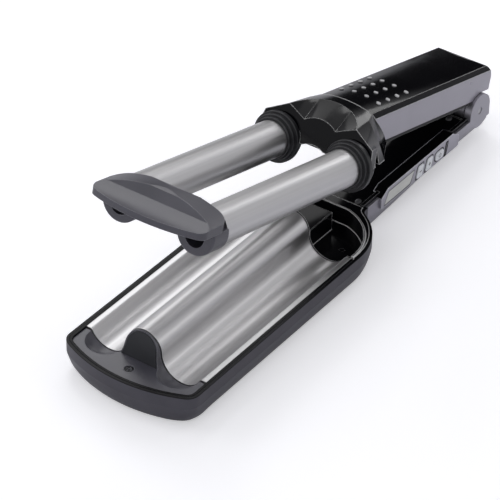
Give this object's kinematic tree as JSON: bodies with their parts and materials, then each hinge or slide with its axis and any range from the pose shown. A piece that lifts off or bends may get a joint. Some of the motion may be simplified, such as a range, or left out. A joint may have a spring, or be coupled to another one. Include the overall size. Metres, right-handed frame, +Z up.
{
  "type": "hair waver",
  "caption": "Hair waver with round heated barrels that close into a wave-shaped plate, with a sprung hinge, buttons and a display.",
  "frame": {"origin": "on the flat underside, under the middle of the wave plate", "axes": "+X along the tool from tip to hinge, +Y across it away from the display, +Z up"},
  "size_m": [0.3225, 0.079, 0.1058],
  "materials": {
    "shell_grey": "satin violet-grey metallic paint on plastic",
    "grip_grey": "satin violet-grey metallic paint on plastic",
    "dark_grey": "satin dark grey plastic",
    "frame_black": "black plastic",
    "gloss_black": "polished black plastic",
    "titanium": "titanium coating, brushed lengthwise",
    "pad_rubber": "satin heat-proof silicone",
    "stud_grey": "pale grey dots",
    "button_white": "off-white plastic",
    "lcd_glass": "pale grey display window",
    "display": "display module",
    "board": "circuit board",
    "steel": "plain steel",
    "ceramic": "ceramic",
    "mica": "mica sheet",
    "inner_grey": "inner plastic"
  },
  "bodies": {
    "lower_arm": {"lower_shell": "shell_grey", "handle_shell": "shell_grey", "rim_frame": "frame_black", "wave_plate": "titanium", "front_end_cap": "dark_grey", "dome_pad": "pad_rubber", "end_cap_screw": "steel", "rear_cup": "gloss_black", "lower_inner_cover": "gloss_black", "control_panel": "gloss_black", "lcd_window": "lcd_glass", "lcd_module": "display", "control_board": "board", "button_switches": "inner_grey", "plate_heater": "ceramic", "heater_carrier": "inner_grey", "heat_shield": "mica", "thermistor": "ceramic", "thermal_fuse": "steel", "power_board": "board", "housing_screws": "steel", "hinge_pin": "steel", "hinge_washers": "inner_grey", "hinge_spring": "steel"},
    "upper_arm": {"upper_side_shell": "grip_grey", "upper_top_panel": "gloss_black", "grip_studs": "stud_grey", "upper_inner_cover": "gloss_black", "head": "gloss_black", "head_skirt": "gloss_black", "tip_bar": "dark_grey", "barrel_left": "titanium", "collar_left": "dark_grey", "heater_core_left": "ceramic", "end_cup_left": "dark_grey", "barrel_right": "titanium", "collar_right": "dark_grey", "heater_core_right": "ceramic", "end_cup_right": "dark_grey"},
    "minus_key": {"minus_button": "button_white"},
    "plus_key": {"plus_button": "button_white"},
    "power_key": {"power_button": "button_white"},
    "cord_outlet": {"cord_swivel": "frame_black"}
  },
  "joints": [
    {"name": "jaw_hinge", "type": "hinge", "parent": "lower_arm", "child": "upper_arm", "pos_m": [0.215, 0, 0.02], "axis": [0, 1, 0], "range_deg": [-14.2, 0], "stiffness_Nm_per_rad": 1.2, "springref_deg": 34.38},
    {"name": "minus_press", "type": "slide", "parent": "lower_arm", "child": "minus_key", "axis": [0, 1, 0], "range_m": [0, 0.0008], "stiffness_N_per_m": 1500, "springref_m": -0.0004},
    {"name": "plus_press", "type": "slide", "parent": "lower_arm", "child": "plus_key", "axis": [0, 1, 0], "range_m": [0, 0.0008], "stiffness_N_per_m": 1500, "springref_m": -0.0004},
    {"name": "power_press", "type": "slide", "parent": "lower_arm", "child": "power_key", "axis": [0, 1, 0], "range_m": [0, 0.0008], "stiffness_N_per_m": 1500, "springref_m": -0.0004},
    {"name": "cord_swivel_turn", "type": "hinge", "parent": "lower_arm", "child": "cord_outlet", "pos_m": [0.228, 0, 0.0134], "axis": [1, 0, 0], "continuous": true}
  ]
}
